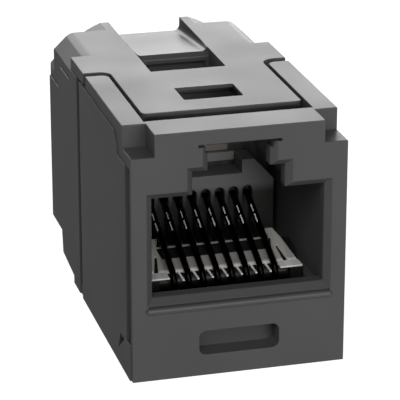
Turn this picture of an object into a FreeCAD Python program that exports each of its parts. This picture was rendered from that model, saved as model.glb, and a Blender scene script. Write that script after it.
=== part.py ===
"""Keystone coupler: two housings, two contact sets and a board that joins two plugs.

Millimetres. X runs across the front, Y from the front face to the rear, Z up from the flat underside.
The origin lies under the middle of the coupler. Depths are counted inward from an end face, and what serves
the rear plug is built as for the front and turned half a turn about the middle.
"""
import FreeCAD, Part
import math
import os
import re

import Sketcher

SIZES = {
    # Plug openings
    "opening_half_width": 6.06,
    "opening_low": 5.64,
    "opening_height": 7.31,
    "opening_chamfer": 0.26,
    "mouth_inset": 0.2,
    "step_half_width": 3.33,
    "front_step_rise": 1.59,
    "rear_step_rise": 1.25,
    "key_half_width": 2.29,
    "front_key_rise": 1.3,
    "rear_key_rise": 0.9,
    "slit_overhang": 0.51,
    "slit_height": 0.17,
    "slit_depth": 0.5,
    # Plug cavities
    "lip": 1.3,
    "sill": 1.3,
    "sill_drop": 0.44,
    "floor_wall": 1.9,
    "run_clearance": 0.12,
    "shelf_depth": 5.45,
    "shelf_wall": 1.18,
    "channel_clearance": 0.27,
    "channel_headroom": 0.36,
    "channel_wall": 1.35,
    # Outer body
    "depth": 26.2,
    "side_wall": 1.29,
    "strip_wall": 0.99,
    "panel_rise": 0.1,
    # Front housing, outside
    "shoulder_drop": 1.52,
    "strip_inset": 1.59,
    "strip_depth": 2.88,
    "notch_depth": 2.37,
    "rail_width": 1.6,
    "rail_setback": 1.63,
    "rail_round": 0.6,
    "seam_width": 0.9,
    "floor_lip_height": 0.9,
    "bead_rise": 0.24,
    "bead_overlap": 0.19,
    "bead_drop": 0.36,
    "bead_groove": 0.16,
    "pocket_half_width": 2.75,
    "pocket_low": 1.5,
    "pocket_height": 1.7,
    "pocket_radius": 0.45,
    "pocket_depth": 1.5,
    # Raised side panels, their grooves and hooks
    "panel_nose": 0.35,
    "groove_width": 0.95,
    "groove_depth": 0.35,
    "panel_low": 2.6,
    "panel_step_drop": 0.79,
    "panel_lead": 2.2,
    "panel_slant": 0.8,
    "hook_front": 2.1,
    "hook_top": 1.16,
    "hook_lean": 0.6,
    "hook_low": 0.97,
    "hook_height": 1.36,
    "hook_depth": 0.4,
    # Rear housing, outside
    "foot_length": 2.1,
    "foot_step": 0.57,
    "foot_rise": 0.38,
    "heel_wall": 1.05,
    "heel_run": 0.3,
    "collar_length": 2.0,
    "collar_rim": 0.66,
    "collar_slope": 0.35,
    "collar_curve": 0.096,
    "leg_bevel": 1.2,
    "leg_drop": 1.15,
    "leg_ease": 0.4,
    "taper_length": 0.75,
    "taper_in": 0.15,
    "rear_panel_lead": 0.5,
    "rear_panel_slant": 0.8,
    "rear_panel_first_drop": 1.73,
    "rear_panel_second_drop": 3.49,
    "rear_panel_back": 4.7,
    # Top tongue and thumb ramp
    "tongue_gap": 0.25,
    "tongue_clearance": 0.16,
    "tongue_front_gap": 1.45,
    "tongue_corner": 0.4,
    "tongue_rim": 0.25,
    "tongue_undercut": 0.9,
    "window_half_width": 2.07,
    "window_setback": 2.17,
    "window_length": 2.7,
    "window_corner": 0.18,
    "window_rim": 0.25,
    "window_core_back": 2.6,
    "window_core_side": 0.5,
    "tongue_bridge": 4.1,
    "cutout_half_width": 2.7,
    "cutout_length": 4.3,
    "wing_gap": 0.68,
    "wing_length": 4.1,
    "wing_thickness": 0.8,
    "wing_clearance": 0.06,
    "wing_fillet": 0.85,
    "thumb_front_drop": 0.21,
    "thumb_rear_drop": 1.02,
    "thumb_fillet": 0.45,
    "thumb_lip": 0.7,
    "thumb_bevel": 0.34,
    "thumb_hollow": 0.35,
    "thumb_hollow_inset": 0.3,
    # Spigot that joins the housings
    "spigot_gap": 0.1,
    "spigot_engage": 1.2,
    "spigot_wall": 0.9,
    "spigot_floor": 0.4,
    "spigot_roof": 0.74,
    "spigot_fit": 0.05,
    # Contact sleds
    "sled_inset": 0.56,
    "sled_fit": 0.05,
    "cheek_fit": 0.02,
    "cheek_width": 0.9,
    "slab_rise": 0.02,
    "slab_thickness": 1.06,
    "nose_centre": 4.53,
    "deck_length": 2.2,
    "deck_angle": 24.0,
    "rib_gap": 0.22,
    "rib_height": 0.85,
    "rib_width": 0.28,
    "comb_thickness": 1.98,
    "comb_height": 5.54,
    "comb_corner_across": 1.45,
    "comb_corner_drop": 1.6,
    "comb_slot_fit": 0.15,
    "comb_slot_depth": 0.9,
    "comb_notch_half_width": 3.15,
    "comb_notch_depth": 1.0,
    # Spring contacts
    "contact_pitch": 1.016,
    "wire_radius": 0.225,
    "contact_stand_off": 0.2,
    "contact_angle": 22.5,
    "arm_entry": 0.25,
    "jog_lead": 1.0,
    "jog_radius": 0.4,
    "jog_angle": 45.0,
    "front_tail_drop": 1.38,
    "rear_tail_drop": 0.48,
    "tail_reach": 0.4,
    # Flex circuits
    "flex_thickness": 0.12,
    "flex_fit": 0.02,
    "flex_run": 1.15,
    "finger_length": 1.55,
    "finger_width": 0.14,
    "lip_length": 1.05,
    "lip_clearance": 0.094,
    "lip_inset": 0.05,
    "arm_width": 0.72,
    "arm_bend": 0.2,
    "arm_waist_run": 2.1,
    "arm_waist_out": 0.21,
    "arm_run": 2.95,
    "arm_tip_in": 0.14,
    "slot_length": 1.4,
    "slot_width": 0.3,
    "slot_rear_width": 0.12,
    "slot_lean": 0.2,
    "slot_inset": 0.34,
    # Circuit board
    "board_thickness": 1.2,
    "board_headroom": 0.15,
    "board_fit": 0.02,
    "hole_fit": 0.03,
}

DERIVED = {
    # Widths, from the middle out
    "body_half_width": "opening_half_width + side_wall",
    "panel_half_width": "body_half_width + panel_rise",
    "strip_half_width": "body_half_width - strip_inset",
    "rail_inner": "body_half_width - rail_width",
    "tongue_half_width": "rail_inner - tongue_gap",
    "slit_half_width": "key_half_width + slit_overhang",
    "bead_half_width": "opening_half_width + bead_overlap",
    "channel_half_width": "step_half_width + channel_clearance",
    "leg_half_width": "body_half_width - leg_bevel",
    "collar_half_width": "cutout_half_width + collar_rim",
    "sled_half_width": "opening_half_width - sled_inset",
    "cheek_inner": "sled_half_width - cheek_width",
    "spigot_half_width": "sled_half_width + sled_fit + spigot_wall",
    "comb_slot_half_width": "wire_radius + comb_slot_fit",
    # Heights
    "opening_high": "opening_low + opening_height",
    "front_step_high": "opening_high + front_step_rise",
    "rear_step_high": "opening_high + rear_step_rise",
    "front_key_high": "front_step_high + front_key_rise",
    "rear_key_high": "rear_step_high + rear_key_rise",
    "slit_low": "front_key_high + opening_chamfer",
    "slit_high": "slit_low + slit_height",
    "height": "slit_high + strip_wall",
    "shoulder_height": "height - shoulder_drop",
    "wing_under": "height - wing_thickness",
    "foot_height": "wing_under - wing_clearance",
    "tongue_under": "shoulder_height + tongue_clearance",
    "front_channel_high": "front_key_high + channel_headroom",
    "rear_channel_high": "rear_key_high + channel_headroom",
    "sill_height": "opening_low - sill_drop",
    "bead_height": "opening_low - opening_chamfer - bead_drop",
    "pocket_high": "pocket_low + pocket_height",
    "panel_step": "shoulder_height - panel_step_drop",
    "hook_high": "hook_low + hook_height",
    "heel_height": "shelf_floor - shelf_wall",
    "leg_shoulder": "height - leg_drop",
    "leg_slant": "sqrt(leg_bevel * leg_bevel + leg_drop * leg_drop)",
    "thumb_slope": "(thumb_rear_drop - thumb_front_drop) / (depth - thumb_front)",
    "spigot_low": "floor_wall - spigot_floor",
    "spigot_high": "shoulder_height - spigot_roof - spigot_fit",
    "slab_high": "opening_low + slab_rise",
    "slab_low": "slab_high - slab_thickness",
    "nose_radius": "slab_thickness / 2",
    "nose_height": "slab_low + nose_radius",
    "bend_radius": "nose_radius + contact_stand_off + wire_radius",
    "run_height": "nose_height - bend_radius",
    "shelf_floor": "run_height - wire_radius - run_clearance",
    "front_tail_height": "run_height - front_tail_drop",
    "rear_tail_height": "run_height - rear_tail_drop",
    "rib_high": "slab_high + rib_height",
    "comb_high": "slab_high + comb_height",
    "comb_slot_middle": "arm_tip_height + comb_slot_fit",
    "board_high": "opening_high - board_headroom",
    # Depths from an end face
    "sill_depth": "lip + sill",
    "middle": "depth / 2",
    "spigot_front": "middle + board_thickness / 2 + spigot_gap",
    "front_length": "spigot_front + spigot_engage",
    "rear_start": "front_length + seam_width",
    "front_channel_end": "spigot_front - spigot_fit - channel_wall",
    "rail_end": "front_length - rail_setback",
    "panel_front": "panel_nose + groove_width",
    "panel_corner": "panel_front + panel_lead",
    "tongue_front": "strip_depth + tongue_front_gap",
    "window_front": "tongue_front + window_setback",
    "window_end": "window_front + window_length",
    "cutout_front": "window_end + tongue_bridge",
    "thumb_front": "cutout_front + cutout_length",
    "wing_front": "rail_end + wing_gap",
    "wing_end": "wing_front + wing_length",
    "foot_end": "rear_start + foot_length",
    "heel_start": "depth - shelf_depth + heel_wall",
    "leg_end": "depth - collar_length",
    "taper_start": "depth - taper_length",
    "rear_panel_drop": "depth - rear_panel_back",
    "sled_back": "middle - board_thickness / 2 - board_fit",
    "deck_end": "nose_centre + deck_length",
    "comb_front": "sled_back - comb_thickness",
    "lip_front": "nose_centre - lip_length",
    "finger_front": "nose_centre - finger_length",
    "flex_end": "nose_centre + flex_run",
    "arm_end": "nose_centre + arm_run",
    "rib_front": "arm_end + rib_gap",
    "arm_waist": "nose_centre + arm_waist_run",
    "slot_rear": "nose_centre + slot_length",
    "jog_depth": "comb_front - jog_lead",
    "tail_end": "middle + board_thickness / 2 + tail_reach",
    # Flex circuit, across
    "lip_inner": "last_contact + wire_radius + lip_clearance",
    "lip_outer": "sled_half_width - lip_inset",
    "arm_waist_inner": "lip_inner + arm_waist_out",
    "arm_tip_inner": "lip_inner - arm_tip_in",
    "slot_rear_across": "lip_inner + slot_inset",
    "slot_front_across": "slot_rear_across + slot_lean",
    # Contact path
    "last_contact": "3.5 * contact_pitch",
    "arm_start": "nose_centre - bend_radius * sin(contact_angle)",
    "arm_start_height": "nose_height + bend_radius * cos(contact_angle)",
    "arm_tip": "comb_front + arm_entry",
    "arm_tip_height": "arm_start_height + (arm_tip - arm_start) * tan(contact_angle)",
    "jog_tangent": "jog_radius * tan(jog_angle / 2)",
    "jog_tangent_run": "jog_tangent * cos(jog_angle)",
    "jog_tangent_rise": "jog_tangent * sin(jog_angle)",
    # Places on the part
    "face": "(bead_rise - depth) / 2",
}

CONTACTS = 8
CURVE_STEPS = 8
SIDES = (("left", -1), ("right", 1))
# How far a cutting shape reaches past what it cuts, and how far fused shapes reach into each other
BEYOND = "1"
TURN_ABOUT_Z = FreeCAD.Rotation(FreeCAD.Vector(0, 0, 1), 180)

# For each plane: how a sketch turns to lie on it, and the place that sets its distance along the third axis
PLANES = {
    "YZ": (FreeCAD.Rotation(FreeCAD.Vector(1, 1, 1), 120), "Placement.Base.x"),
    "XZ": (FreeCAD.Rotation(FreeCAD.Vector(1, 0, 0), 90), "Placement.Base.y"),
    "XY": (FreeCAD.Rotation(), "Placement.Base.z"),
}
ROD_TURNS = {
    "X": FreeCAD.Rotation(FreeCAD.Vector(0, 1, 0), 90),
    "Y": FreeCAD.Rotation(FreeCAD.Vector(1, 0, 0), -90),
}

doc = FreeCAD.newDocument("keystone_coupler")
sheet = doc.addObject("Spreadsheet::Sheet", "Dims")


def fill_sheet():
    """Write each size as text in a cell of its own, with its name as the alias."""
    for row, (alias, value) in enumerate(SIZES.items(), start=1):
        cell = f"A{row}"
        sheet.set(cell, str(value))
        sheet.setAlias(cell, alias)
    doc.recompute()


def read_from_sheet(word):
    """A size as a cell of the sheet, and a derived size as the text it stands for."""
    name = word[0]
    if name in SIZES:
        return f"Dims.{name}"
    if name in DERIVED:
        return f"({ex(DERIVED[name])})"
    return name


def ex(text):
    """Expression text in which each named size is read from the sheet."""
    return re.sub(r"[a-z_]+", read_from_sheet, str(text))


def bind(feature, sizes):
    """Bind each named property of a feature to an expression."""
    for name, text in sizes.items():
        feature.setExpression(name, ex(text))
    return feature


def inward(distance):
    """Y of a depth counted from the front face."""
    return f"(face + {distance})"


def box(name, x, y, z):
    """Box between two expressions on each axis."""
    solid = doc.addObject("Part::Box", name)
    return bind(solid, {
        "Length": f"({x[1]}) - ({x[0]})",
        "Width": f"({y[1]}) - ({y[0]})",
        "Height": f"({z[1]}) - ({z[0]})",
        "Placement.Base.x": x[0],
        "Placement.Base.y": y[0],
        "Placement.Base.z": z[0],
    })


def wide_box(name, half_width, y, z):
    """Box centred across the part."""
    return box(name, (f"-({half_width})", half_width), y, z)


def pair_of_boxes(name, x, y, z):
    """One box on the right and its mirror image on the left."""
    right = box(f"{name}_right", x, y, z)
    left = box(f"{name}_left", (f"-({x[1]})", f"-({x[0]})"), y, z)
    return [left, right]


def pin_point(sketch, curve, end, name, across, along):
    """Hold one end of a curve at a place given by two expressions."""
    now = sketch.getPoint(curve, end)
    places = (("DistanceX", "across", across, now.x), ("DistanceY", "along", along, now.y))
    for kind, word, text, value in places:
        index = sketch.addConstraint(Sketcher.Constraint(kind, -1, 1, curve, end, value))
        sketch.renameConstraint(index, f"{name}_{word}")
        sketch.setExpression(f"Constraints.{name}_{word}", ex(text))


def set_radius(sketch, curve, value, name, radius):
    """Give a round curve its radius."""
    index = sketch.addConstraint(Sketcher.Constraint("Radius", curve, value))
    sketch.renameConstraint(index, name)
    sketch.setExpression(f"Constraints.{name}", ex(radius))


def outline_sketch(name, plane, points):
    """Closed outline whose corners are bound to expressions, drawn first as a regular ring."""
    sketch = doc.addObject("Sketcher::SketchObject", name)
    sketch.Placement.Rotation = PLANES[plane][0]
    count = len(points)
    turns = [math.tau * k / count for k in range(count)]
    ring = [FreeCAD.Vector(math.cos(turn), math.sin(turn), 0) for turn in turns]
    for k in range(count):
        sketch.addGeometry(Part.LineSegment(ring[k], ring[(k + 1) % count]))
    for k in range(count):
        sketch.addConstraint(Sketcher.Constraint("Coincident", k, 2, (k + 1) % count, 1))
    for k, (across, along) in enumerate(points):
        pin_point(sketch, k, 1, f"corner_{k}", across, along)
    return sketch


def prism(name, plane, points, low, high):
    """Straight prism on an outline, from low to high along the third axis."""
    sketch = outline_sketch(f"{name}_outline", plane, points)
    # The normal of a sketch on XZ points along -Y, so that one starts from its high end
    sketch.setExpression(PLANES[plane][1], ex(high if plane == "XZ" else low))
    solid = doc.addObject("Part::Extrusion", name)
    solid.Base = sketch
    solid.DirMode = "Normal"
    solid.Solid = True
    return bind(solid, {"LengthFwd": f"({high}) - ({low})"})


def pair_of_side_prisms(name, points, low, high):
    """A prism along X on the right and its mirror image on the left."""
    right = prism(f"{name}_right", "YZ", points, low, high)
    left = prism(f"{name}_left", "YZ", points, f"-({high})", f"-({low})")
    return [left, right]


def pair_of_prisms(name, plane, points, low, high):
    """A prism along Y or Z on the right and its mirror image on the left."""
    mirrored = [(f"-({across})", along) for across, along in points]
    left = prism(f"{name}_left", plane, mirrored, low, high)
    right = prism(f"{name}_right", plane, points, low, high)
    return [left, right]


def quarter_round(centre, radius, start):
    """Points of a quarter circle, anticlockwise from the start angle in degrees."""
    points = []
    for k in range(CURVE_STEPS + 1):
        angle = start + 90 * k / CURVE_STEPS
        points.append((f"{centre[0]} + {radius} * cos({angle})", f"{centre[1]} + {radius} * sin({angle})"))
    return points


def rod(name, axis, radius, length, place):
    """Cylinder along X or Y, from its first end."""
    solid = doc.addObject("Part::Cylinder", name)
    solid.Placement.Rotation = ROD_TURNS[axis]
    return bind(solid, {
        "Radius": radius,
        "Height": length,
        "Placement.Base.x": place[0],
        "Placement.Base.y": place[1],
        "Placement.Base.z": place[2],
    })


def fuse(name, pieces):
    """One solid from several."""
    solid = doc.addObject("Part::MultiFuse", name)
    solid.Shapes = pieces
    solid.Refine = True
    return solid


def cut(name, base, tools):
    """A base with all the tools taken out of it."""
    solid = doc.addObject("Part::Cut", name)
    solid.Base = base
    solid.Tool = fuse(f"{name}_cuts", tools)
    solid.Refine = True
    return solid


def turn_to_rear(feature):
    """Turn a feature built for the front plug half a turn, so that it serves the rear plug."""
    feature.Placement.Rotation = TURN_ABOUT_Z
    return bind(feature, {"Placement.Base.y": f"2 * {inward('middle')}"})


def flare(name, half_width, high):
    """Lead-in bevel of one rectangle of the opening, from the end face to the narrowest part of the mouth."""
    solid = doc.addObject("Part::Wedge", name)
    return bind(solid, {
        "Xmin": f"-({half_width} + opening_chamfer)",
        "Xmax": f"{half_width} + opening_chamfer",
        "Ymin": "face",
        "Ymax": inward("opening_chamfer + mouth_inset"),
        "Zmin": "opening_low - opening_chamfer",
        "Zmax": f"{high} + opening_chamfer",
        "X2min": f"-({half_width} - mouth_inset)",
        "X2max": f"{half_width} - mouth_inset",
        "Z2min": "opening_low + mouth_inset",
        "Z2max": f"{high} - mouth_inset",
    })


def opening(end):
    """Pieces of the stepped plug opening of one end, through the lip."""
    steps = (
        ("main", "opening_half_width", "opening_high"),
        ("step", "step_half_width", f"{end}_step_high"),
        ("key", "key_half_width", f"{end}_key_high"),
    )
    through = ("face", inward(f"lip + {BEYOND}"))
    pieces = []
    for word, half_width, high in steps:
        pieces.append(flare(f"{end}_{word}_flare", half_width, high))
        pieces.append(wide_box(f"{end}_{word}_opening", f"{half_width} - mouth_inset", through,
                               ("opening_low + mouth_inset", f"{high} - mouth_inset")))
    return pieces


def plug_cavity(end, well_front, reach, channel_end):
    """One opening and the room behind it for the plug, its latch and the sled."""
    snug = "sled_half_width + sled_fit"
    over_sill = f"sill_height + {BEYOND}"
    return fuse(f"{end}_cavity", [
        *opening(end),
        wide_box(f"{end}_plug_room", "opening_half_width", (inward("lip"), inward(reach)),
                 ("sill_height", "opening_high")),
        wide_box(f"{end}_sled_shelf", snug, (inward("sill_depth"), inward(reach)),
                 ("shelf_floor", over_sill)),
        wide_box(f"{end}_sled_well", snug, (inward(well_front), inward(reach)), ("floor_wall", over_sill)),
        wide_box(f"{end}_latch_channel", "channel_half_width", (inward("lip"), inward(channel_end)),
                 (f"opening_high - {BEYOND}", f"{end}_channel_high")),
    ])


def latch_slit():
    """Slim slit above the key of the front opening, wider than the key and open to it."""
    start = inward(f"-{BEYOND}")
    return [
        wide_box("slit_ends", "slit_half_width", (start, inward("slit_depth")), ("slit_low", "slit_high")),
        wide_box("slit_middle", "key_half_width", (start, inward("lip")),
                 ("front_key_high - mouth_inset", "slit_high")),
    ]


def front_panel_outline():
    """Side panel of the front housing, in Y and Z."""
    nose = inward("panel_nose")
    front = inward("panel_front")
    corner = inward("panel_corner")
    back = inward("front_length")
    return [
        (nose, "0"),
        (back, "0"),
        (back, "foot_height"),
        (inward("panel_corner + panel_slant"), "foot_height"),
        (corner, "foot_height - panel_slant"),
        (corner, "panel_step"),
        (front, "panel_step"),
        (front, "panel_low"),
        (nose, "panel_low"),
    ]


def hook_outline():
    """Three-cornered mark low on each side, in Y and Z."""
    return [
        (inward("hook_front"), "hook_high"),
        (inward("hook_front + hook_top + hook_lean"), "hook_low"),
        (inward("hook_front + hook_top"), "hook_high"),
    ]


def bead():
    """Half-round bead with pointed ends under the front opening."""
    start = ("-bead_half_width", "face", "bead_height")
    pieces = [rod("bead_bar", "X", "bead_rise", "2 * bead_half_width", start)]
    for side, sign in SIDES:
        tip = doc.addObject("Part::Cone", f"bead_tip_{side}")
        tip.Placement.Rotation = FreeCAD.Rotation(FreeCAD.Vector(0, 1, 0), 90 * sign)
        tip.Radius2 = 0
        pieces.append(bind(tip, {
            "Radius1": "bead_rise",
            "Height": "bead_rise",
            "Placement.Base.x": f"{sign} * bead_half_width",
            "Placement.Base.y": "face",
            "Placement.Base.z": "bead_height",
        }))
    return pieces


def front_pocket():
    """Blind slot with round corners in the lower front wall."""
    y = (inward(f"-{BEYOND}"), inward("pocket_depth"))
    inset = "pocket_half_width - pocket_radius"
    corner_low = "pocket_low + pocket_radius"
    corner_high = "pocket_high - pocket_radius"
    pieces = [
        wide_box("pocket_tall", inset, y, ("pocket_low", "pocket_high")),
        wide_box("pocket_wide", "pocket_half_width", y, (corner_low, corner_high)),
    ]
    for side, sign in SIDES:
        for word, height in (("low", corner_low), ("high", corner_high)):
            place = (f"{sign} * ({inset})", y[0], height)
            length = f"pocket_depth + {BEYOND}"
            pieces.append(rod(f"pocket_corner_{side}_{word}", "Y", "pocket_radius", length, place))
    return pieces


def rail_outline():
    """Plan of one top rail, in X and Y, with its inner rear corner rounded."""
    front = inward("notch_depth")
    corner = ("rail_inner + rail_round", inward("rail_end - rail_round"))
    return [
        ("rail_inner", front),
        ("body_half_width", front),
        ("body_half_width", inward("rail_end")),
        *quarter_round(corner, "rail_round", 90),
    ]


def front_housing():
    """Front body with the rails, the strip, the side panels and the plug opening."""
    back = inward("front_length")
    foot_x = ("rail_inner", "body_half_width")
    below_shoulder = f"shoulder_height - {BEYOND}"
    outer = fuse("front_outer", [
        wide_box("front_block", "body_half_width", ("face", back), ("0", "shoulder_height")),
        wide_box("front_strip", "strip_half_width", ("face", inward("strip_depth")),
                 (below_shoulder, "height")),
        *pair_of_prisms("rail", "XY", rail_outline(), below_shoulder, "height"),
        *pair_of_boxes("rail_foot", foot_x, (inward(f"rail_end - {BEYOND}"), back),
                       (below_shoulder, "foot_height")),
        *pair_of_side_prisms("front_panel", front_panel_outline(), "body_half_width", "panel_half_width"),
        wide_box("floor_lip", "body_half_width",
                 (inward(f"front_length - {BEYOND}"), inward("rear_start - spigot_fit")),
                 ("0", "floor_lip_height")),
        *bead(),
    ])
    side_x = ("body_half_width - groove_depth", f"body_half_width + {BEYOND}")
    return cut("front_housing", outer, [
        plug_cavity("front", "sill_depth", f"front_length + {BEYOND}", "front_channel_end"),
        *latch_slit(),
        wide_box("bead_groove_cut", "bead_half_width", (inward(f"-{BEYOND}"), inward("bead_groove")),
                 ("bead_height + bead_rise", "opening_low - opening_chamfer")),
        *front_pocket(),
        *pair_of_boxes("side_groove", side_x, (inward("panel_nose"), inward("panel_front")),
                       ("panel_low", "panel_step")),
        *pair_of_side_prisms("side_hook", hook_outline(),
                             "panel_half_width - hook_depth", f"panel_half_width + {BEYOND}"),
        wide_box("spigot_rebate", "spigot_half_width + spigot_fit",
                 (inward("spigot_front - spigot_fit"), inward(f"front_length + {BEYOND}")),
                 ("spigot_low - spigot_fit", "spigot_high + spigot_fit")),
    ])


def rear_underside():
    """Lower edge of the rear body from front to rear, in Y and Z: the foot, its slope and the heel."""
    return [
        (inward("rear_start"), "0"),
        (inward("foot_end"), "0"),
        (inward("foot_end"), "foot_step"),
        (inward("heel_start"), "foot_step + foot_rise"),
        (inward("heel_start + heel_run"), "heel_height"),
    ]


def rear_body_outline():
    """Side silhouette of the rear body, in Y and Z."""
    back = inward("depth")
    return [*rear_underside(), (back, "heel_height"), (back, "height"), (inward("rear_start"), "height")]


def rear_panel_outline():
    """Side panel of the rear housing, in Y and Z, with its stepped upper edge."""
    back = inward("taper_start")
    first = "height - rear_panel_first_drop"
    second = "height - rear_panel_second_drop"
    first_start = "wing_end - rear_panel_lead"
    return [
        *rear_underside(),
        (back, "heel_height"),
        (back, second),
        (inward("rear_panel_drop + rear_panel_slant"), second),
        (inward("rear_panel_drop"), first),
        (inward(f"{first_start} + rear_panel_slant"), first),
        (inward(first_start), "foot_height"),
        (inward("rear_start"), "foot_height"),
    ]


def leg_corner_outline():
    """What the bevelled shoulder beside a leg leaves out, in X and Z. The bevel's upper edge is eased."""
    outside = f"panel_half_width + {BEYOND}"
    eased = []
    for k in range(CURVE_STEPS + 1):
        done = k / CURVE_STEPS
        along = f"leg_ease * {done * done} / leg_slant"
        across = f"leg_half_width - leg_ease * {(1 - done) * (1 - done)} + {along} * leg_bevel"
        eased.append((across, f"height - {along} * leg_drop"))
    return [
        ("leg_half_width - leg_ease", f"height + {BEYOND}"),
        *eased,
        ("body_half_width", "leg_shoulder"),
        (outside, "leg_shoulder"),
        (outside, f"height + {BEYOND}"),
    ]


def collar_corner_outline():
    """What the bowed corner of the rear collar leaves out, in X and Z."""
    bow = []
    for k in range(CURVE_STEPS + 2):
        run = f"((body_half_width - collar_half_width) * {k} / {CURVE_STEPS})"
        drop = f"(collar_slope * {run} + collar_curve * {run} * {run})"
        bow.append((f"collar_half_width + {run}", f"height - {drop}"))
    over = f"height + {BEYOND}"
    return [("collar_half_width", over), *bow, (bow[-1][0], over)]


def tongue_outline():
    """Plan of the top tongue, in X and Y, with rounded front corners."""
    behind_corner = inward("tongue_front + tongue_corner")
    inset = "(tongue_half_width - tongue_corner)"
    root = inward(f"rear_start + {BEYOND}")
    return [
        ("-tongue_half_width", root),
        *quarter_round((f"-{inset}", behind_corner), "tongue_corner", 180),
        *quarter_round((inset, behind_corner), "tongue_corner", 270),
        ("tongue_half_width", root),
    ]


def tongue_undercut_outline():
    """What the sloped front of the tongue leaves out below its rim, in Y and Z."""
    before = inward(f"tongue_front - {BEYOND}")
    back = inward("tongue_front + tongue_undercut")
    below = f"tongue_under - {BEYOND}"
    return [
        (before, below),
        (back, below),
        (back, "tongue_under"),
        (inward("tongue_front"), "height - tongue_rim"),
        (before, "height - tongue_rim"),
    ]


def window_outline():
    """Plan of the window in the tongue, in X and Y, with rounded corners."""
    inset = "(window_half_width - window_corner)"
    front = inward("window_front + window_corner")
    back = inward("window_end - window_corner")
    return [
        *quarter_round((inset, back), "window_corner", 0),
        *quarter_round((f"-{inset}", back), "window_corner", 90),
        *quarter_round((f"-{inset}", front), "window_corner", 180),
        *quarter_round((inset, front), "window_corner", 270),
    ]


def wing_fillet_outline():
    """Plan of the hollow rounding between the tongue and a wing, in X and Y."""
    centre = ("tongue_half_width + wing_fillet", inward("wing_front - wing_fillet"))
    return [("tongue_half_width", inward("wing_front")), *reversed(quarter_round(centre, "wing_fillet", 90))]


def runs_along_floor(edge, top):
    """Whether an edge of the thumb recess goes from front to rear below its top."""
    first, last = (corner.Point for corner in edge.Vertexes)
    return abs(first.y - last.y) > abs(first.z - last.z) and max(first.z, last.z) < top


def thumb_ramp():
    """Sloped recess between the legs, with its long inner edges rounded."""
    front = inward("thumb_front")
    back = inward(f"depth + {BEYOND}")
    over = f"height + {BEYOND}"
    outline = [
        (front, "height - thumb_front_drop"),
        (back, f"height - thumb_rear_drop - thumb_slope * {BEYOND}"),
        (back, over),
        (front, over),
    ]
    recess = prism("thumb_recess", "YZ", outline, "-cutout_half_width", "cutout_half_width")
    doc.recompute()
    rounded = doc.addObject("Part::Fillet", "thumb_ramp")
    rounded.Base = recess
    rounded.Edges = [
        (number, SIZES["thumb_fillet"], SIZES["thumb_fillet"])
        for number, edge in enumerate(recess.Shape.Edges, start=1)
        if runs_along_floor(edge, recess.Shape.BoundBox.ZMax)
    ]
    return rounded


def thumb_bevel_outline():
    """What the bevel takes off the front edge of the thumb ramp, in Y and Z."""
    top = "height - thumb_front_drop"
    before = inward(f"thumb_front - {BEYOND}")
    return [
        (before, f"{top} - thumb_bevel - {BEYOND}"),
        (inward(f"thumb_front + thumb_bevel + {BEYOND}"), f"{top} + {BEYOND}"),
        (before, f"{top} + {BEYOND}"),
    ]


def taper_outline():
    """Slim wedge taken off each side at the rear edge, in X and Y."""
    outside = f"panel_half_width + {BEYOND}"
    return [
        ("body_half_width", inward("taper_start")),
        ("body_half_width - taper_in", inward("depth")),
        (outside, inward("depth")),
        (outside, inward("taper_start")),
    ]


def rear_housing():
    """Rear body with the spigot, the top tongue, the wings, the legs and the rear plug opening."""
    over = f"height + {BEYOND}"
    outer = fuse("rear_outer", [
        prism("rear_body", "YZ", rear_body_outline(), "-body_half_width", "body_half_width"),
        *pair_of_side_prisms("rear_panel", rear_panel_outline(), "body_half_width", "panel_half_width"),
        wide_box("spigot", "spigot_half_width", (inward("spigot_front"), inward(f"rear_start + {BEYOND}")),
                 ("spigot_low", "spigot_high")),
        prism("tongue", "XY", tongue_outline(), "tongue_under", "height"),
        wide_box("wings", "body_half_width", (inward("wing_front"), inward("wing_end")),
                 ("wing_under", "height")),
        *pair_of_prisms("wing_fillet", "XY", wing_fillet_outline(), "wing_under", "height"),
    ])
    return cut("rear_housing", outer, [
        turn_to_rear(plug_cavity("rear", "shelf_depth", "depth - rear_start", "depth - rear_start")),
        wide_box("spigot_bore", "sled_half_width + sled_fit",
                 (inward(f"spigot_front - {BEYOND}"), inward(f"rear_start + {BEYOND}")),
                 ("floor_wall", "spigot_high - spigot_wall")),
        prism("tongue_undercut_cut", "YZ", tongue_undercut_outline(),
              "-tongue_half_width", "tongue_half_width"),
        prism("tongue_window", "XY", window_outline(), f"tongue_under - {BEYOND}", over),
        wide_box("window_core", "window_half_width + window_core_side",
                 (inward("window_front"), inward("window_end + window_core_back")),
                 (f"tongue_under - {BEYOND}", "height - window_rim")),
        wide_box("tongue_cutout", "cutout_half_width", (inward("cutout_front"), inward("thumb_front")),
                 (f"opening_high - {BEYOND}", over)),
        thumb_ramp(),
        prism("thumb_bevel_cut", "YZ", thumb_bevel_outline(), "-cutout_half_width", "cutout_half_width"),
        wide_box("thumb_hollow", "cutout_half_width - thumb_hollow_inset",
                 (inward(f"thumb_front - {BEYOND}"), inward("thumb_front + thumb_hollow")),
                 (f"opening_high - {BEYOND}", "height - thumb_front_drop - thumb_lip")),
        *pair_of_prisms("leg_corner", "XZ", leg_corner_outline(), inward("wing_end"), inward("leg_end")),
        *pair_of_prisms("collar_corner", "XZ", collar_corner_outline(),
                        inward("leg_end"), inward(f"depth + {BEYOND}")),
        *pair_of_prisms("rear_taper", "XY", taper_outline(), f"-{BEYOND}", over),
    ])


def contact_x(number):
    """X of one contact, counted from 0 on the left."""
    return f"({number - (CONTACTS - 1) / 2}) * contact_pitch"


def deck_outline():
    """Sloped deck under the flex circuit, in Y and Z."""
    end = inward("deck_end")
    return [
        (inward("nose_centre"), "slab_high"),
        (inward("nose_centre"), "nose_height"),
        (end, "nose_height"),
        (end, "slab_high + deck_length * tan(deck_angle)"),
    ]


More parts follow.
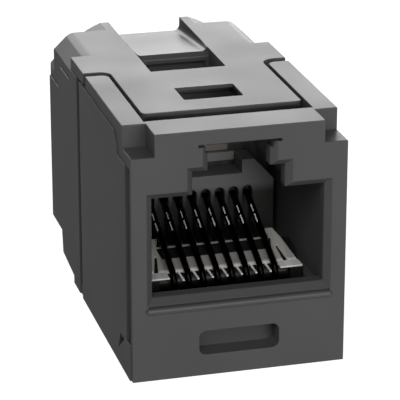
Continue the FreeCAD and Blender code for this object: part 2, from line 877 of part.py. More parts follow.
def comb_corner_outline():
    """What each cut upper corner of the comb wall leaves out, in X and Z."""
    inner = "sled_half_width - comb_corner_across"
    over = f"comb_high + {BEYOND}"
    return [
        (inner, "comb_high"),
        ("sled_half_width", "comb_high - comb_corner_drop"),
        (f"sled_half_width + {BEYOND}", "comb_high - comb_corner_drop"),
        (f"sled_half_width + {BEYOND}", over),
        (inner, over),
    ]


def sled(end):
    """Contact carrier of one end: slab, deck, cheeks, ribs and comb wall."""
    back = inward("sled_back")
    cheek_x = ("cheek_inner", "sled_half_width")
    body = [
        wide_box(f"{end}_slab", "sled_half_width", (inward("nose_centre"), back), ("slab_low", "slab_high")),
        rod(f"{end}_nose", "X", "nose_radius", "2 * sled_half_width",
            ("-sled_half_width", inward("nose_centre"), "nose_height")),
        prism(f"{end}_deck", "YZ", deck_outline(), "-sled_half_width", "sled_half_width"),
        *pair_of_boxes(f"{end}_cheek_nose", cheek_x, (inward("lip_front"), back),
                       ("shelf_floor + cheek_fit", "slab_high")),
        *pair_of_boxes(f"{end}_cheek", cheek_x, (inward("shelf_depth + sled_fit"), back),
                       ("floor_wall + cheek_fit", "slab_high")),
        wide_box(f"{end}_comb", "sled_half_width", (inward("comb_front"), back), ("slab_low", "comb_high")),
    ]
    rib_y = (inward("rib_front"), inward("comb_front + comb_slot_depth"))
    for k in range(CONTACTS + 1):
        middle = contact_x(k - 0.5)
        rib_x = (f"{middle} - rib_width / 2", f"{middle} + rib_width / 2")
        body.append(box(f"{end}_rib_{k + 1}", rib_x, rib_y, ("slab_low", "rib_high")))
    slot_y = (inward(f"comb_front - {BEYOND}"), inward("comb_front + comb_slot_depth"))
    slots = []
    for k in range(CONTACTS):
        middle = contact_x(k)
        slot_x = (f"{middle} - comb_slot_half_width", f"{middle} + comb_slot_half_width")
        slots.append(box(f"{end}_slot_{k + 1}", slot_x, slot_y, ("slab_high", "comb_slot_middle")))
        slots.append(rod(f"{end}_slot_top_{k + 1}", "Y", "comb_slot_half_width",
                         f"comb_slot_depth + {BEYOND}", (middle, slot_y[0], "comb_slot_middle")))
    through = (inward(f"comb_front - {BEYOND}"), inward(f"sled_back + {BEYOND}"))
    slots.append(wide_box(f"{end}_comb_notch", "comb_notch_half_width", through,
                          ("comb_high - comb_notch_depth", f"comb_high + {BEYOND}")))
    slots += pair_of_prisms(f"{end}_comb_corner", "XZ", comb_corner_outline(), *through)
    return cut(f"{end}_contact_sled", fuse(f"{end}_sled_body", body), slots)


def contact_lines(end):
    """Ends of the straight stretches of a contact, in Y and Z: tail, jog, lower run and spring arm."""
    tail = f"{end}_tail_height"
    jog_run = f"{end}_tail_drop / tan(jog_angle)"
    return [
        ((inward("tail_end"), tail), (inward("jog_depth + jog_tangent"), tail)),
        ((inward("jog_depth - jog_tangent_run"), f"{tail} + jog_tangent_rise"),
         (inward(f"jog_depth - {jog_run} + jog_tangent_run"), "run_height - jog_tangent_rise")),
        ((inward(f"jog_depth - {jog_run} - jog_tangent"), "run_height"),
         (inward("nose_centre"), "run_height")),
        ((inward("arm_start"), "arm_start_height"), (inward("arm_tip"), "arm_tip_height")),
    ]


def join_with_arc(sketch, line, following, name, radius):
    """Round bend that leaves one straight stretch along its direction and ends at the next."""
    start = sketch.getPoint(line, 2)
    finish = sketch.getPoint(following, 1)
    direction = (start - sketch.getPoint(line, 1)).normalize()
    chord = finish - start
    half_turn = direction.getAngle(chord)
    outward = (direction - chord * (direction.dot(chord) / chord.dot(chord))).normalize()
    summit = start + chord / 2 + outward * (chord.Length / 2 * math.tan(half_turn / 2))
    arc = sketch.addGeometry(Part.Arc(start, summit, finish))
    arc_start = 1 if sketch.getPoint(arc, 1).isEqual(start, chord.Length / 2) else 2
    sketch.addConstraint(Sketcher.Constraint("Coincident", line, 2, arc, arc_start))
    sketch.addConstraint(Sketcher.Constraint("Coincident", arc, 3 - arc_start, following, 1))
    set_radius(sketch, arc, chord.Length / (2 * math.sin(half_turn)), name, radius)


def contact_path(end):
    """Middle line of a contact: straight stretches joined by round bends."""
    sketch = doc.addObject("Sketcher::SketchObject", f"{end}_contact_path")
    sketch.Placement.Rotation = PLANES["YZ"][0]
    lines = contact_lines(end)
    for k, (first, last) in enumerate(lines):
        sketch.addGeometry(Part.LineSegment(FreeCAD.Vector(k, 0, 0), FreeCAD.Vector(k, 1, 0)))
        pin_point(sketch, k, 1, f"line_{k}_start", *first)
        pin_point(sketch, k, 2, f"line_{k}_finish", *last)
    doc.recompute()
    for k, radius in enumerate(("jog_radius", "jog_radius", "bend_radius")):
        join_with_arc(sketch, k, k + 1, f"bend_{k}", radius)
    return sketch


def wire_section(end):
    """Round section of a contact at the end of its tail."""
    sketch = doc.addObject("Sketcher::SketchObject", f"{end}_wire_section")
    sketch.Placement.Rotation = PLANES["XZ"][0]
    bind(sketch, {"Placement.Base.y": inward("tail_end"), "Placement.Base.z": f"{end}_tail_height"})
    sketch.addGeometry(Part.Circle(FreeCAD.Vector(0, 0, 0), FreeCAD.Vector(0, 0, 1), SIZES["wire_radius"]))
    sketch.addConstraint(Sketcher.Constraint("Coincident", 0, 3, -1, 1))
    set_radius(sketch, 0, SIZES["wire_radius"], "wire_radius", "wire_radius")
    return sketch


def contacts(end):
    """The eight spring wires of one end."""
    path = contact_path(end)
    section = wire_section(end)
    doc.recompute()
    stretches = [f"Edge{k + 1}" for k in range(len(path.Shape.Edges))]
    wires = []
    for k in range(CONTACTS):
        wire = doc.addObject("Part::Sweep", f"{end}_contact_{k + 1}")
        wire.Sections = [section]
        wire.Spine = (path, stretches)
        wire.Solid = True
        if end == "rear":
            turn_to_rear(wire)
            bind(wire, {"Placement.Base.x": f"-({contact_x(k)})"})
        else:
            bind(wire, {"Placement.Base.x": contact_x(k)})
        wires.append(wire)
    return wires


def flex_fold_outline():
    """Side view of the bent sheet, in Y and Z: a flat lip, then the slope of the deck."""
    low = "(slab_high + flex_fit)"
    rise = "(arm_run * tan(deck_angle))"
    front = inward("finger_front")
    fold = inward("nose_centre")
    end = inward("arm_end")
    return [
        (front, low),
        (fold, low),
        (end, f"{low} + {rise}"),
        (end, f"{low} + {rise} + flex_thickness"),
        (fold, f"{low} + flex_thickness"),
        (front, f"{low} + flex_thickness"),
    ]


def flex_wing_outline():
    """Plan of one end of the sheet, in X and Y: the lip and the arm behind it."""
    return [
        ("lip_inner", inward("lip_front")),
        ("lip_outer", inward("lip_front")),
        ("lip_outer", inward("nose_centre - arm_bend")),
        ("arm_waist_inner + arm_width", inward("arm_waist")),
        ("arm_tip_inner + arm_width", inward("arm_end")),
        ("arm_tip_inner", inward("arm_end")),
        ("arm_waist_inner", inward("arm_waist")),
        ("lip_inner", inward("flex_end")),
    ]


def flex_slot_outline():
    """Plan of the slim slot in each arm, in X and Y."""
    return [
        ("slot_rear_across", inward("slot_rear")),
        ("slot_front_across", inward("nose_centre")),
        ("slot_front_across + slot_width", inward("nose_centre")),
        ("slot_rear_across + slot_rear_width", inward("slot_rear")),
    ]


def flex_circuit(end):
    """Thin bent sheet under the contacts, cut to its plan outline."""
    z = ("slab_low", "comb_high")
    rear_of_middle = inward("flex_end")
    plan = [
        wide_box(f"{end}_flex_middle", "lip_inner + finger_width",
                 (inward("nose_centre"), rear_of_middle), z),
        *pair_of_prisms(f"{end}_flex_wing", "XY", flex_wing_outline(), *z),
    ]
    for k in range(CONTACTS - 1):
        middle = contact_x(k + 0.5)
        finger_x = (f"{middle} - finger_width / 2", f"{middle} + finger_width / 2")
        plan.append(box(f"{end}_finger_{k + 1}", finger_x, (inward("finger_front"), rear_of_middle), z))
    outline = cut(f"{end}_flex_plan", fuse(f"{end}_flex_area", plan),
                  pair_of_prisms(f"{end}_flex_slot", "XY", flex_slot_outline(), *z))
    fold = prism(f"{end}_flex_fold", "YZ", flex_fold_outline(), "-sled_half_width", "sled_half_width")
    solid = doc.addObject("Part::MultiCommon", f"{end}_flex_circuit")
    solid.Shapes = [outline, fold]
    return solid


def circuit_board():
    """Upright board in the middle, with a hole for each tail."""
    front = inward("middle - board_thickness / 2")
    back = inward("middle + board_thickness / 2")
    board = wide_box("board_blank", "sled_half_width", (front, back),
                     ("floor_wall + cheek_fit", "board_high"))
    holes = []
    for end in ("front", "rear"):
        for k in range(CONTACTS):
            place = (contact_x(k), f"{front} - {BEYOND}", f"{end}_tail_height")
            holes.append(rod(f"{end}_hole_{k + 1}", "Y", "wire_radius + hole_fit",
                             f"board_thickness + 2 * {BEYOND}", place))
    return cut("circuit_board", board, holes)


def check_document():
    """Stop if any feature failed."""
    for feature in doc.Objects:
        if "Invalid" in feature.State or "Error" in feature.State:
            raise RuntimeError(f"{feature.Name} failed: {feature.State}")


def write_parts(nodes):
    """Check each sub-part's solid and write it to its own file."""
    for node in nodes:
        shape = node.Shape
        if shape.isNull() or not shape.isValid() or len(shape.Solids) != 1:
            raise RuntimeError(f"{node.Label}: null {shape.isNull()}, solids {len(shape.Solids)}")
    os.makedirs("parts", exist_ok=True)
    for node in nodes:
        node.Shape.exportStep(f"parts/{node.Label}.step")


fill_sheet()
nodes = [front_housing(), rear_housing(), circuit_board()]
for plug_end in ("front", "rear"):
    carrier = sled(plug_end)
    flex = flex_circuit(plug_end)
    if plug_end == "rear":
        turn_to_rear(carrier)
        turn_to_rear(flex)
    nodes += [carrier, flex, *contacts(plug_end)]
doc.recompute()
check_document()
for node in nodes:
    node.Label = node.Name
write_parts(nodes)
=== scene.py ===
import math

import bmesh
import bpy
from mathutils import Matrix, Vector
from mathutils.bvhtree import BVHTree


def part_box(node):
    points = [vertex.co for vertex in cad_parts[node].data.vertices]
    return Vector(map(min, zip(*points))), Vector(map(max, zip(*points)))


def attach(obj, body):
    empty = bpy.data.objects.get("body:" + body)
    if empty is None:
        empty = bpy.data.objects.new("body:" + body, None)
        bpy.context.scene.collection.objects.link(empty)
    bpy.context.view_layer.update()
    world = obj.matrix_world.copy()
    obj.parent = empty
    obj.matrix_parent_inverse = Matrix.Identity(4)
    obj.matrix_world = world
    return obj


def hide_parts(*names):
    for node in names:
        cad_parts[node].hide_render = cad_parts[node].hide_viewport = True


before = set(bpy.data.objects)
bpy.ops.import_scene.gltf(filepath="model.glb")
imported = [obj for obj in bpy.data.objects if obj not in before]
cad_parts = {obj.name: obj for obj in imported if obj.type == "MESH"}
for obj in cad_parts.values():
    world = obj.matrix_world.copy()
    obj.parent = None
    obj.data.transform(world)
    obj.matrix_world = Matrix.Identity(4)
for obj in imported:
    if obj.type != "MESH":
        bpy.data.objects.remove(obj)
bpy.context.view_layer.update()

MM = 0.001
BOARD = "circuit_board"
CONTACTS = 8
CONTACT_PITCH = 1.016 * MM
# Blender's wave texture turns through this many radians in one unit of length.
WAVE_TURNS = 20

# Mesh clean-up: corners closer than the weld distance are joined, and so are faces within the flat angle.
WELD_DISTANCE = 0.002 * MM
FLAT_ANGLE = math.radians(0.5)
# Outer edges that turn by more than this are rounded, and normals are averaged only within it.
SHARP_ANGLE = math.radians(28)
# A rounding takes this share of the room beside its edge. Neighbours above the cosine go on along the
# edge, so they take no room, and the room is never more than a multiple of the edge's own length.
ROOM_SHARE = 0.4
SAME_LINE = 0.7
ROOM_PER_LENGTH = 4
WEIGHT_LAYER = "bevel_weight_edge"
ROUND_STEPS = 3
HOUSING_ROUND = 0.07 * MM
SLED_ROUND = 0.05 * MM
SHEET_ROUND = 0.03 * MM
# In radii: how far a rounding may stand off from the CAD surface, and how far around a stray corner edges
# stay sharp. In square radii: the largest face that counts as folded over.
STRAY_SHARE = 0.6
STRAY_REACH = 8
FOLD_AREA = 2
STRAY_ROUNDS = 3
# A face wider than this is a flat wall.
WALL_WIDTH = 0.45 * MM

# The part of a noise's range that a material's values are spread over.
NOISE_LOW = 0.3
NOISE_HIGH = 0.7

# Moulded plastic: flow clouds, spark texture, and the X part of the normal over which side walls turn matt.
CLOUD_SIZE = 6 * MM
SPARK_SIZE = 0.06 * MM
SPARK_HEIGHT = 0.004 * MM
SPARK_STRENGTH = 0.6
SIDE_START = 0.6
SIDE_END = 0.95
PLASTIC_SPECULAR = 0.3

# Spring wire: dark plating with fine lines that are stretched along Y and Z.
LINE_SIZE = 0.05 * MM
LINE_STRETCH = (1, 0.06, 0.06)
LINE_HEIGHT = 0.003 * MM
LINE_STRENGTH = 0.4
PLATING_DARK = (0.003, 0.0026, 0.0024)
PLATING_LIGHT = (0.006, 0.005, 0.0046)
PLATING_ROUGHNESS = (0.2, 0.34)

# Painted highlight: light, non-metallic strokes on one flank of each spring wire stand in for glints: middle
# and reach along Y, and middle and reach across the wire as shares of the contact pitch.
GLINT_STROKES = ((4.1 * MM, 0.33 * MM), (5.05 * MM, 0.4 * MM))
GLINT_ACROSS = 0.38
GLINT_REACH = 0.038
GLINT_COLOUR = (0.55, 0.53, 0.51)

# Painted shade: distance from the middle of the part, along Y, over which a carrier turns dark towards its
# nose.
NOSE_SHADE_START = 5.2 * MM
NOSE_SHADE_END = 5.8 * MM
NOSE_SHADE = (0.004, 0.004, 0.004)
# Painted shade: heights between which the comb wall turns dark towards the wires.
COMB_SHADE_LOW = 8.7 * MM
COMB_SHADE_HIGH = 9.4 * MM
COMB_SHADE = (0.024, 0.023, 0.022)

# Printed circuits: clouds in the coating, tracks on the crests of a slightly wandering wave, and fine grain.
COATING_CLOUDS = 1.2 * MM
TRACK_WANDER = 0.15
TRACK_START = 0.45
TRACK_END = 0.6
TRACK_STRENGTH = 0.6
GRAIN_SIZE = 0.05 * MM
GRAIN_HEIGHT = 0.003 * MM
GRAIN_STRENGTH = 0.5

# Distance from the middle, along Y, where a flex circuit folds up, how dark the painted shade on its slope
# is between the wires, and the share of that painted shade on the arms, which start at this distance from
# the middle along X.
FOLD_START = 8.2 * MM
FOLD_END = 8.45 * MM
SLOPE_SHADE = (0.3, 0.295, 0.285)
ARM_SHARE = 0.8
ARM_START = 3.9 * MM
ARM_END = 4.1 * MM

# Thin plates inside: a stiffener along the inner edge of each flex circuit, and two bars on each side of
# the board. The light grey bar is painted light: its colour stands in for light that falls in through the
# window in the top.
PLATE_ROUND = 0.015 * MM
PLATE_STEPS = 2
ROUND_PROFILE = 0.5
DECK_SLOPE = math.radians(24)
STIFFENER_SIZE = Vector((8.4, 0.16, 0.06)) * MM
STIFFENER_LEAD = 0.85 * MM
STIFFENER_DROP = 0.36 * MM
BAR_SIZE = Vector((6.1, 0.3, 0.62)) * MM
BAR_HEIGHT = 10.95 * MM
STRIP_SIZE = Vector((5.2, 0.12, 0.45)) * MM
STRIP_HEIGHT = 11.59 * MM

# Camera fitted to the photograph.
CAMERA_PLACE = Vector((-38.69, -145.95, 64.12)) * MM
CAMERA_TARGET = Vector((-2.734, -12.98, 12.544)) * MM
CAMERA_LENS = 203.98
CAMERA_SENSOR = 36
CAMERA_CLIP = 10 * MM

# Studio. Lengths are in metres.
WHITE = (1, 1, 1, 1)
FLOOR_RADIUS = 3
FLOOR_CORNERS = 64
FLOOR_COLOUR = (0.5, 0.5, 0.5, 1)
FLOOR_GLOW = 0.8
FLOOR_CLOUDS = 0.02
FLOOR_ROUGHNESS = (0.85, 0.95)
WORLD_LIGHT = 0.1
# Where the white wall ends, as the sine of its height above the horizon.
HORIZON_LOW = 0.1
HORIZON_HIGH = 0.16
# Soft lamps aimed at one point of the part: place, size and power.
LAMP_TARGET = Vector((0, 0, 0.01))
LAMPS = {
    "back_softbox": ((0.22, 0.7, 0.21), (1.1, 0.3), 5),
    "front_softbox": ((-0.26, -0.68, 0.58), (0.5, 0.4), 5.3),
    "fill_softbox": ((0.2, -0.85, 0.2), (0.4, 0.3), 3.2),
}


def find_room(edge):
    """Length of the shortest neighbour that a rounding of this edge eats into."""
    along = (edge.verts[1].co - edge.verts[0].co).normalized()
    room = edge.calc_length() * ROOM_PER_LENGTH
    for vertex in edge.verts:
        for other in vertex.link_edges:
            if other == edge:
                continue
            side = (other.other_vert(vertex).co - vertex.co).normalized()
            if abs(along.dot(side)) < SAME_LINE:
                room = min(room, other.calc_length())
    return room


def weigh_edges(mesh, radius):
    """Joins the imported triangles into flat faces and sets how far each outer edge is rounded."""
    work = bmesh.new()
    work.from_mesh(mesh)
    bmesh.ops.remove_doubles(work, verts=work.verts[:], dist=WELD_DISTANCE)
    bmesh.ops.dissolve_limit(work, angle_limit=FLAT_ANGLE, verts=work.verts[:], edges=work.edges[:])
    weights = work.edges.layers.float.new(WEIGHT_LAYER)
    for edge in work.edges:
        if edge.is_manifold and edge.calc_face_angle_signed() > SHARP_ANGLE:
            edge[weights] = min(1, ROOM_SHARE * find_room(edge) / radius)
    for face in work.faces:
        face.smooth = True
    work.to_mesh(mesh)
    work.free()


def find_strays(mesh, surface, radius):
    """Corners of a rounded mesh that stand off from the CAD surface, or where a small face folds over."""
    strays = [v.co.copy() for v in mesh.vertices if surface.find_nearest(v.co)[3] > STRAY_SHARE * radius]
    mesh.calc_loop_triangles()
    for triangle in mesh.loop_triangles:
        face = mesh.polygons[triangle.polygon_index]
        one, two, three = (mesh.vertices[k].co for k in triangle.vertices)
        folds = (two - one).cross(three - one).dot(face.normal) < 0
        if folds and face.area < FOLD_AREA * radius ** 2:
            strays.append(one.copy())
    return strays


def keep_to_cad(piece, node, radius):
    """Leaves an edge sharp where its rounding would stray from the CAD surface or fold over."""
    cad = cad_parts[node].data
    surface = BVHTree.FromPolygons([v.co for v in cad.vertices], [p.vertices[:] for p in cad.polygons])
    weights = piece.data.attributes[WEIGHT_LAYER].data
    corners = piece.data.vertices
    for _ in range(STRAY_ROUNDS):
        graph = bpy.context.evaluated_depsgraph_get()
        strays = find_strays(piece.evaluated_get(graph).to_mesh(), surface, radius)
        for edge in piece.data.edges:
            ends = [corners[k].co for k in edge.vertices]
            if any((end - stray).length < STRAY_REACH * radius for end in ends for stray in strays):
                weights[edge.index].value = 0
        piece.data.update()


def is_wide(mesh, face):
    """Whether a face is a flat wall, and not a strip of a round."""
    corners = [mesh.vertices[k].co for k in face.vertices]
    longest = max((one - other).length for one, other in zip(corners, corners[1:] + corners[:1]))
    return face.area > WALL_WIDTH * longest


def settle_normals(mesh):
    """Keeps flat walls flat, and lets each round run smoothly into the walls beside it."""
    wide = [is_wide(mesh, face) for face in mesh.polygons]
    faces_at = [[] for _ in mesh.vertices]
    for face in mesh.polygons:
        for corner in face.vertices:
            faces_at[corner].append(face)
    normals = []
    for face in mesh.polygons:
        for corner in face.vertices:
            total = Vector()
            for other in faces_at[corner]:
                two_walls = wide[face.index] and wide[other.index] and other.index != face.index
                if not two_walls and face.normal.angle(other.normal, 0) < SHARP_ANGLE:
                    total += other.normal * (other.area / MM ** 2) ** 2
            normals.append(total.normalized())
    mesh.normals_split_custom_set(normals)


def rounded_piece(node, radius, material):
    """A copy of a CAD node with moulded, rounded edges, which stands for the node."""
    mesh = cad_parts[node].data.copy()
    weigh_edges(mesh, radius)
    mesh.materials.clear()
    mesh.materials.append(material)
    piece = bpy.data.objects.new(f"{node}_rounded", mesh)
    bpy.context.scene.collection.objects.link(piece)
    bevel = piece.modifiers.new("rounded edges", "BEVEL")
    bevel.limit_method = "WEIGHT"
    bevel.width = radius
    bevel.segments = ROUND_STEPS
    bevel.use_clamp_overlap = False
    keep_to_cad(piece, node, radius)
    graph = bpy.context.evaluated_depsgraph_get()
    piece.data = bpy.data.meshes.new_from_object(piece.evaluated_get(graph))
    piece.modifiers.clear()
    settle_normals(piece.data)
    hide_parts(node)
    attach(piece, "root")


class Nodes:
    """A material's node tree, with short calls for the nodes used here."""

    def __init__(self, name):
        self.material = bpy.data.materials.new(name)
        self.material.use_nodes = True
        self.tree = self.material.node_tree
        self.shader = self.tree.nodes["Principled BSDF"]
        coordinates = self.tree.nodes.new("ShaderNodeTexCoord")
        self.place = coordinates.outputs["Object"]
        self.facing = coordinates.outputs["Normal"]

    def link(self, source, target):
        """Joins an output to an input."""
        self.tree.links.new(source, target)

    def stretch(self, scale):
        """Object coordinates stretched by a factor for each axis."""
        node = self.tree.nodes.new("ShaderNodeMapping")
        node.inputs["Scale"].default_value = scale
        self.link(self.place, node.inputs["Vector"])
        return node.outputs["Vector"]

    def along(self, vector, axis):
        """One part of a vector."""
        node = self.tree.nodes.new("ShaderNodeSeparateXYZ")
        self.link(vector, node.inputs["Vector"])
        return node.outputs[axis]

    def math(self, operation, *values):
        """One math node on linked sources and plain numbers."""
        node = self.tree.nodes.new("ShaderNodeMath")
        node.operation = operation
        for value, target in zip(values, node.inputs):
            if isinstance(value, (int, float)):
                target.default_value = value
            else:
                self.link(value, target)
        return node.outputs["Value"]

    def depth(self):
        """Distance along Y from the middle of the part."""
        return self.math("ABSOLUTE", self.along(self.place, "Y"))

    def noise(self, size, detail, place=None):
        """Cloudy noise with blotches of this size in metres."""
        node = self.tree.nodes.new("ShaderNodeTexNoise")
        node.inputs["Scale"].default_value = 1 / size
        node.inputs["Detail"].default_value = detail
        self.link(place or self.place, node.inputs["Vector"])
        return node.outputs["Fac"]

    def spread(self, source, low, high, from_low=NOISE_LOW, from_high=NOISE_HIGH):
        """A range of the source, by default that of a noise, spread from low to high."""
        node = self.tree.nodes.new("ShaderNodeMapRange")
        node.inputs["From Min"].default_value = from_low
        node.inputs["From Max"].default_value = from_high
        node.inputs["To Min"].default_value = low
        node.inputs["To Max"].default_value = high
        self.link(source, node.inputs["Value"])
        return node.outputs["Result"]

    def tint(self, source, dark, light):
        """A colour between dark and light, as a noise goes through its range."""
        node = self.tree.nodes.new("ShaderNodeValToRGB")
        first, last = node.color_ramp.elements
        first.position = NOISE_LOW
        first.color = (*dark, 1)
        last.position = NOISE_HIGH
        last.color = (*light, 1)
        self.link(source, node.inputs["Fac"])
        return node.outputs["Color"]

    def mix(self, share, first, second, blend="MIX"):
        """A linked colour that goes to a plain one with the share, or is multiplied by it."""
        node = self.tree.nodes.new("ShaderNodeMix")
        node.data_type = "RGBA"
        node.blend_type = blend
        self.link(share, node.inputs["Factor"])
        self.link(first, node.inputs["A"])
        node.inputs["B"].default_value = (*second, 1)
        return node.outputs["Result"]

    def bump(self, source, height, strength, under=None):
        """A bumped normal, on top of another one if it is given."""
        node = self.tree.nodes.new("ShaderNodeBump")
        node.inputs["Distance"].default_value = height
        node.inputs["Strength"].default_value = strength
        self.link(source, node.inputs["Height"])
        if under:
            self.link(under, node.inputs["Normal"])
        return node.outputs["Normal"]


def moulded_plastic(name, dark, light, roughness, matt=0, is_carrier=False):
    """Satin moulded plastic: fine spark texture, faint flow clouds and matt side walls.

    A carrier gets painted shade: it turns dark towards its nose and below the wires' ends.
    """
    nodes = Nodes(name)
    clouds = nodes.noise(CLOUD_SIZE, detail=1)
    colour = nodes.tint(clouds, dark, light)
    if is_carrier:
        # Painted shade: the carrier's lower comb wall and its nose turn dark.
        height = nodes.along(nodes.place, "Z")
        colour = nodes.mix(nodes.spread(height, 1, 0, COMB_SHADE_LOW, COMB_SHADE_HIGH), colour, COMB_SHADE)
        colour = nodes.mix(nodes.spread(nodes.depth(), 0, 1, NOSE_SHADE_START, NOSE_SHADE_END), colour, NOSE_SHADE)
    nodes.link(colour, nodes.shader.inputs["Base Color"])
    satin = nodes.spread(clouds, *roughness)
    sideways = nodes.math("ABSOLUTE", nodes.along(nodes.facing, "X"))
    texture = nodes.spread(sideways, 0, matt, SIDE_START, SIDE_END)
    nodes.link(nodes.math("ADD", satin, texture), nodes.shader.inputs["Roughness"])
    spark = nodes.bump(nodes.noise(SPARK_SIZE, detail=2), SPARK_HEIGHT, SPARK_STRENGTH)
    nodes.link(spark, nodes.shader.inputs["Normal"])
    nodes.shader.inputs["Specular IOR Level"].default_value = PLASTIC_SPECULAR
    return nodes.material


def drawn_wire(name):
    """Dark plated spring wire with fine lines along its length, and painted highlight strokes on one flank.
    """
    nodes = Nodes(name)
    lines = nodes.noise(LINE_SIZE, detail=3, place=nodes.stretch(LINE_STRETCH))
    plating = nodes.tint(lines, PLATING_DARK, PLATING_LIGHT)
    # Painted highlight: where a band along Y meets one flank, the wire turns light and not metallic.
    pitches = nodes.math("MULTIPLY_ADD", nodes.along(nodes.place, "X"), 1 / CONTACT_PITCH, CONTACTS / 2)
    across = nodes.math("FRACT", pitches)
    depth = nodes.depth()
    glint_band = nodes.math("ADD", *(nodes.math("COMPARE", depth, *glint) for glint in GLINT_STROKES))
    flank = nodes.math("COMPARE", across, GLINT_ACROSS, GLINT_REACH)
    glint = nodes.math("MULTIPLY", glint_band, flank)
    nodes.link(nodes.mix(glint, plating, GLINT_COLOUR), nodes.shader.inputs["Base Color"])
    nodes.link(nodes.spread(glint, 1, 0, 0, 1), nodes.shader.inputs["Metallic"])
    nodes.link(nodes.spread(lines, *PLATING_ROUGHNESS), nodes.shader.inputs["Roughness"])
    nodes.link(nodes.bump(lines, LINE_HEIGHT, LINE_STRENGTH), nodes.shader.inputs["Normal"])
    return nodes.material


def printed_tracks(name, dark, light, track, roughness, height, shade=(1, 1, 1)):
    """Coated circuit with raised tracks at the contact pitch, and a painted shade on what lies inside the
    fold.
    """
    nodes = Nodes(name)
    clouds = nodes.noise(COATING_CLOUDS, detail=3)
    bands = nodes.tree.nodes.new("ShaderNodeTexWave")
    bands.inputs["Scale"].default_value = math.tau / (WAVE_TURNS * CONTACT_PITCH)
    bands.inputs["Distortion"].default_value = TRACK_WANDER
    nodes.link(nodes.place, bands.inputs["Vector"])
    raised = nodes.spread(bands.outputs["Fac"], 0, 1, TRACK_START, TRACK_END)
    colour = nodes.tint(clouds, dark, light)
    printed = nodes.mix(raised, colour, track)
    # Painted shade inside the fold, weaker on the arms.
    inside = nodes.spread(nodes.depth(), 1, 0, FOLD_START, FOLD_END)
    sideways = nodes.math("ABSOLUTE", nodes.along(nodes.place, "X"))
    share = nodes.math("MULTIPLY", inside, nodes.spread(sideways, 1, ARM_SHARE, ARM_START, ARM_END))
    nodes.link(nodes.mix(share, printed, shade, "MULTIPLY"), nodes.shader.inputs["Base Color"])
    nodes.link(nodes.spread(clouds, *roughness), nodes.shader.inputs["Roughness"])
    ridges = nodes.bump(raised, height, TRACK_STRENGTH)
    grain = nodes.bump(nodes.noise(GRAIN_SIZE, detail=2), GRAIN_HEIGHT, GRAIN_STRENGTH, under=ridges)
    nodes.link(grain, nodes.shader.inputs["Normal"])
    return nodes.material


def add_plate(name, place, size, slope, material):
    """A thin plate with eased edges, tilted about X."""
    work = bmesh.new()
    bmesh.ops.create_cube(work, size=1)
    bmesh.ops.scale(work, vec=size, verts=work.verts[:])
    bmesh.ops.bevel(
        work,
        geom=work.edges[:],
        offset=PLATE_ROUND,
        segments=PLATE_STEPS,
        profile=ROUND_PROFILE,
        affect="EDGES",
    )
    bmesh.ops.rotate(work, matrix=Matrix.Rotation(slope, 3, "X"), verts=work.verts[:])
    bmesh.ops.translate(work, vec=place, verts=work.verts[:])
    mesh = bpy.data.meshes.new(name)
    work.to_mesh(mesh)
    work.free()
    mesh.materials.append(material)
    piece = bpy.data.objects.new(name, mesh)
    bpy.context.scene.collection.objects.link(piece)
    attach(piece, "root")


def add_stiffener(end, facing, material):
    """The strip along a flex circuit's inner edge. Facing is 1 at the front end and -1 at the rear end."""
    low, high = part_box(f"{end}_flex_circuit")
    inner = high.y if facing > 0 else low.y
    place = (0, inner - facing * STIFFENER_LEAD, high.z - STIFFENER_DROP)
    add_plate(f"{end}_stiffener", place, STIFFENER_SIZE, facing * DECK_SLOPE, material)


def add_board_bar(end, facing, word, size, height, material):
    """A bar on the side of the board that is seen from this end."""
    low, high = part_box(BOARD)
    middle = (low.y + high.y) / 2
    thickness = high.y - low.y
    place = (0, middle - facing * (thickness + size.y) / 2, height)
    add_plate(f"{end}_board_{word}", place, size, 0, material)


def seen_directly(tree):
    """One for camera, mirror and see-through rays, and nothing for the light that falls on the part."""
    path = tree.nodes.new("ShaderNodeLightPath")
    seen = path.outputs["Is Camera Ray"]
    for other in ("Is Glossy Ray", "Is Transmission Ray"):
        total = tree.nodes.new("ShaderNodeMath")
        total.use_clamp = True
        tree.links.new(seen, total.inputs[0])
        tree.links.new(path.outputs[other], total.inputs[1])
        seen = total.outputs["Value"]
    return seen


def add_floor():
    """A wide pale floor under the part, which keeps its soft shadow and looks white around it."""
    nodes = Nodes("studio_floor")
    glow = nodes.tree.nodes.new("ShaderNodeMapRange")
    glow.inputs["To Max"].default_value = FLOOR_GLOW
    nodes.link(seen_directly(nodes.tree), glow.inputs["Value"])
    nodes.link(glow.outputs["Result"], nodes.shader.inputs["Emission Strength"])
    nodes.shader.inputs["Emission Color"].default_value = WHITE
    nodes.shader.inputs["Base Color"].default_value = FLOOR_COLOUR
    nodes.shader.inputs["Specular IOR Level"].default_value = 0
    clouds = nodes.noise(FLOOR_CLOUDS, detail=3)
    nodes.link(nodes.spread(clouds, *FLOOR_ROUGHNESS), nodes.shader.inputs["Roughness"])
    bpy.ops.mesh.primitive_circle_add(vertices=FLOOR_CORNERS, radius=FLOOR_RADIUS, fill_type="NGON")
    floor = bpy.context.object
    floor.name = "studio_floor"
    floor.data.materials.append(nodes.material)


def light_world():
    """A dim studio with a white wall low on the horizon."""
    world = bpy.data.worlds.new("studio")
    bpy.context.scene.world = world
    world.use_nodes = True
    tree = world.node_tree
    direction = tree.nodes.new("ShaderNodeTexCoord")
    parts = tree.nodes.new("ShaderNodeSeparateXYZ")
    tree.links.new(direction.outputs["Generated"], parts.inputs["Vector"])
    strength = tree.nodes.new("ShaderNodeMapRange")
    strength.inputs["From Min"].default_value = HORIZON_LOW
    strength.inputs["From Max"].default_value = HORIZON_HIGH
    strength.inputs["To Min"].default_value = 1
    strength.inputs["To Max"].default_value = WORLD_LIGHT
    tree.links.new(parts.outputs["Z"], strength.inputs["Value"])
    background = tree.nodes["Background"]
    background.inputs["Color"].default_value = WHITE
    tree.links.new(strength.outputs["Result"], background.inputs["Strength"])


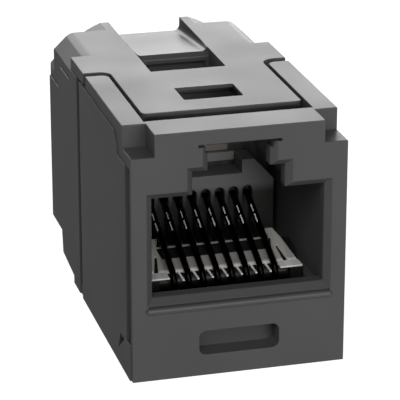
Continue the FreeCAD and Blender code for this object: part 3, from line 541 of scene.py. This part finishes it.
def add_softbox(name, place, size, power):
    """A soft rectangular lamp aimed at the part."""
    lamp = bpy.data.lights.new(name, "AREA")
    lamp.shape = "RECTANGLE"
    lamp.size, lamp.size_y = size
    lamp.energy = power
    box = bpy.data.objects.new(name, lamp)
    bpy.context.scene.collection.objects.link(box)
    box.location = place
    box.rotation_euler = (LAMP_TARGET - Vector(place)).to_track_quat("-Z", "Y").to_euler()


def add_camera():
    """The photograph's viewpoint."""
    camera = bpy.data.objects.new("camera", bpy.data.cameras.new("camera"))
    bpy.context.scene.collection.objects.link(camera)
    camera.location = CAMERA_PLACE
    camera.rotation_euler = (CAMERA_TARGET - CAMERA_PLACE).to_track_quat("-Z", "Y").to_euler()
    camera.data.lens = CAMERA_LENS
    camera.data.sensor_width = CAMERA_SENSOR
    camera.data.clip_start = CAMERA_CLIP
    bpy.context.scene.camera = camera


housing = moulded_plastic(
    "charcoal_plastic",
    dark=(0.044, 0.044, 0.045),
    light=(0.048, 0.048, 0.049),
    roughness=(0.38, 0.44),
    matt=0.5,
)
carrier = moulded_plastic(
    "carrier_plastic",
    dark=(0.105, 0.105, 0.106),
    light=(0.12, 0.12, 0.122),
    roughness=(0.36, 0.48),
    is_carrier=True,
)
# Painted light: the board's light grey bar stands in for light falling in through the window in the top.
bar_painted_light = moulded_plastic(
    "bar_painted_light",
    dark=(0.18, 0.18, 0.18),
    light=(0.21, 0.21, 0.21),
    roughness=(0.4, 0.5),
)
strip_plastic = moulded_plastic(
    "strip_plastic",
    dark=(0.18, 0.165, 0.15),
    light=(0.21, 0.19, 0.175),
    roughness=(0.5, 0.6),
)
wire = drawn_wire("plated_wire")
flex = printed_tracks(
    "flex_coating",
    dark=(0.48, 0.47, 0.445),
    light=(0.54, 0.53, 0.505),
    track=(0.58, 0.57, 0.545),
    roughness=(0.38, 0.5),
    height=0.01 * MM,
    shade=SLOPE_SHADE,
)
mask = printed_tracks(
    "board_mask",
    dark=(0.015, 0.014, 0.013),
    light=(0.021, 0.019, 0.017),
    track=(0.03, 0.027, 0.024),
    roughness=(0.3, 0.42),
    height=0.02 * MM,
)

for end, facing in (("front", 1), ("rear", -1)):
    rounded_piece(f"{end}_housing", HOUSING_ROUND, housing)
    rounded_piece(f"{end}_contact_sled", SLED_ROUND, carrier)
    rounded_piece(f"{end}_flex_circuit", SHEET_ROUND, flex)
    add_stiffener(end, facing, flex)
    add_board_bar(end, facing, "bar", BAR_SIZE, BAR_HEIGHT, bar_painted_light)
    add_board_bar(end, facing, "strip", STRIP_SIZE, STRIP_HEIGHT, strip_plastic)

for name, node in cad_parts.items():
    if name == BOARD or name.rpartition("_")[0].endswith("contact"):
        node.data.materials.clear()
        node.data.materials.append(mask if name == BOARD else wire)

add_floor()
light_world()
for name, (place, size, power) in LAMPS.items():
    add_softbox(name, place, size, power)
add_camera()
bpy.context.scene.view_settings.view_transform = "Standard"
